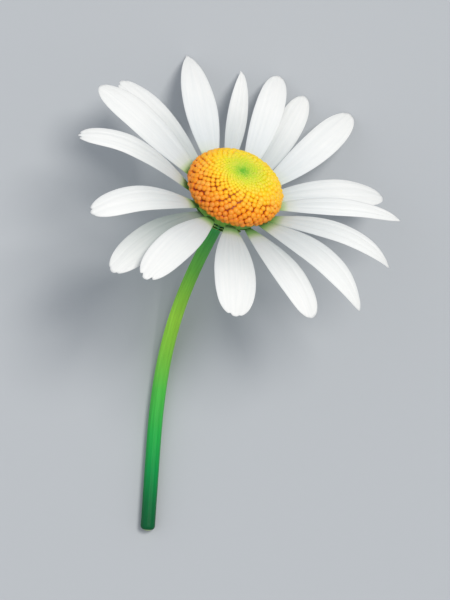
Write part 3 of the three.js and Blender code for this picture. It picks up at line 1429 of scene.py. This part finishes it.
@dataclass(frozen=True)
class Lamp:
    """One distant, soft lamp.

    Attributes:
        name: Its name.
        place: The direction that it shines from.
        spread: Its width seen from the flower, in degrees.
        strength: Its strength in watts a square metre.
        tint: Its colour.
    """

    name: str
    place: tuple[float, float, float]
    spread: float
    strength: float
    tint: str


@dataclass
class Studio:
    """A plain pale floor, soft lamps, and a camera that looks straight down."""

    axes: HeadAxes
    floor_side: float = 40.0
    eye: tuple[float, float] = (-2.9, -1.37)
    eye_height: float = 698.0
    lens: float = 225.0
    sensor: float = 36.0
    sky: str = "#EEF2F7"
    sky_strength: float = 0.54
    lamps: tuple[Lamp, ...] = (
        Lamp("key", (0.34, 0.3, 0.9), 20.0, 1.85, "#FFFBF4"),
        Lamp("fill", (-0.7, 0.1, 0.7), 60.0, 0.35, "#F2F6FF"),
    )

    def build(self) -> None:
        """Makes the floor, the lamps, the sky and the camera."""
        self.floor()
        for lamp in self.lamps:
            self.hang(lamp)
        self.light_sky()
        self.aim_camera()

    def floor(self) -> None:
        """Lays the floor on the plane that the flower rests on."""
        half = self.floor_side / 2
        corners = [(-half, -half, 0), (half, -half, 0), (half, half, 0), (-half, half, 0)]
        mesh = bpy.data.meshes.new("floor")
        mesh.from_pydata(corners, [], [(0, 1, 2, 3)])
        mesh.materials.append(BackdropPaper().material())
        floor = bpy.data.objects.new("floor", mesh)
        bpy.context.scene.collection.objects.link(floor)

    def hang(self, lamp: Lamp) -> None:
        """Hangs one lamp and turns it to the flower."""
        light = bpy.data.lights.new(lamp.name, "SUN")
        light.angle = math.radians(lamp.spread)
        light.energy = lamp.strength
        light.color = linear(lamp.tint)[:3]
        hung = bpy.data.objects.new(lamp.name, light)
        hung.location = lamp.place
        hung.rotation_euler = (-Vector(lamp.place)).to_track_quat("-Z", "Y").to_euler()
        bpy.context.scene.collection.objects.link(hung)

    def light_sky(self) -> None:
        """Fills the room with even light and keeps colours as they are."""
        world = bpy.data.worlds.new("studio")
        world.use_nodes = True
        world.node_tree.nodes.clear()
        settings = {"Color": linear(self.sky), "Strength": self.sky_strength}
        sky = add_node(world.node_tree, "Background", settings)
        add_node(world.node_tree, "OutputWorld", links={"Surface": sky.outputs[0]})
        bpy.context.scene.world = world
        bpy.context.scene.view_settings.view_transform = "Standard"

    def aim_camera(self) -> None:
        """Stands the camera over the flower with +Y up in its view."""
        camera = bpy.data.cameras.new("camera")
        camera.lens = self.lens
        camera.sensor_width = self.sensor
        camera.clip_start, camera.clip_end = 0.01, 10.0
        seen = bpy.data.objects.new("camera", camera)
        seen.location = (self.eye[0] * MM, self.eye[1] * MM, self.eye_height * MM)
        bpy.context.scene.collection.objects.link(seen)
        bpy.context.scene.camera = seen


def compare(piece: bpy.types.Object, node: str) -> None:
    """Warns when a piece reaches further than its CAD node by more than half a millimetre."""
    low, high = (np.array(corner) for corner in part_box(node))
    points = np.array([v.co for v in piece.data.vertices])
    over = max((low - points.min(axis=0)).max(), (points.max(axis=0) - high).max())
    if over > 0.5 * MM:
        LOG.warning("%s reaches %.2f mm past %s", piece.name, over / MM, node)


def main() -> None:
    """Builds the flower's sub-assemblies in order, then the studio."""
    logging.basicConfig(level=logging.INFO, format="%(name)s: %(message)s")
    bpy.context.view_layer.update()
    axes = HeadAxes()
    stem = Stem(axes)
    green = BractTissue().material()
    inner = BractRow(
        axes, "inner_bract", count=17, width=1.7, foot=(3.0, -5.1), point=(6.55, -1.85), belly=0.1
    )
    outer = BractRow(
        axes, "outer_bract", count=13, width=1.8, foot=(2.3, -6.3), point=(5.43, -3.57), belly=0.08
    )
    pieces = RayPetals(axes).build(PetalTissue().material())
    pieces += FloretDisc(axes).build(FloretTissue().material())
    pieces += inner.build(green) + outer.build(green)
    pieces += stem.build(StemTissue(stem.length()).material())
    for piece in pieces:
        compare(piece, piece["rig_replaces"][0])
    Studio(axes).build()
    bpy.context.view_layer.update()
    LOG.info("made %d pieces", len(pieces))


if __name__ == "__main__":
    main()
